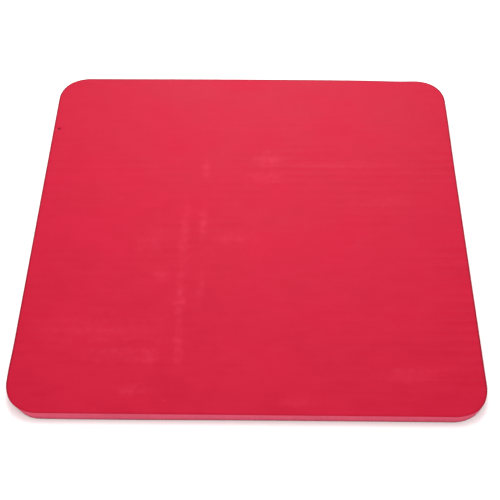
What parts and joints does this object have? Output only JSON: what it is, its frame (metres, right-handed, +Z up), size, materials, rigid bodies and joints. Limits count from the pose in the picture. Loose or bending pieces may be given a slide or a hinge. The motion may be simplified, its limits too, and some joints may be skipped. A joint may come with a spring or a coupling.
{
  "type": "balance pad",
  "caption": "Thin square closed-cell foam balance pad with rounded corners, a finely ribbed top skin, a foam core and a base skin.",
  "frame": {"origin": "middle of the underside, on the floor that the pad lies on", "axes": "+Z up through the thickness, +X to the right along the front edge, +Y to the back edge"},
  "size_m": [0.4, 0.4, 0.01],
  "materials": {
    "base_skin": "matte closed-cell foam skin, finely pebbled",
    "foam_core": "matte cut closed-cell foam, open cells on the cut edge",
    "top_skin": "satin closed-cell foam skin with fine ribs across its width"
  },
  "bodies": {
    "root": {"base_skin": "base_skin", "foam_core": "foam_core", "top_skin": "top_skin"}
  },
  "joints": []
}
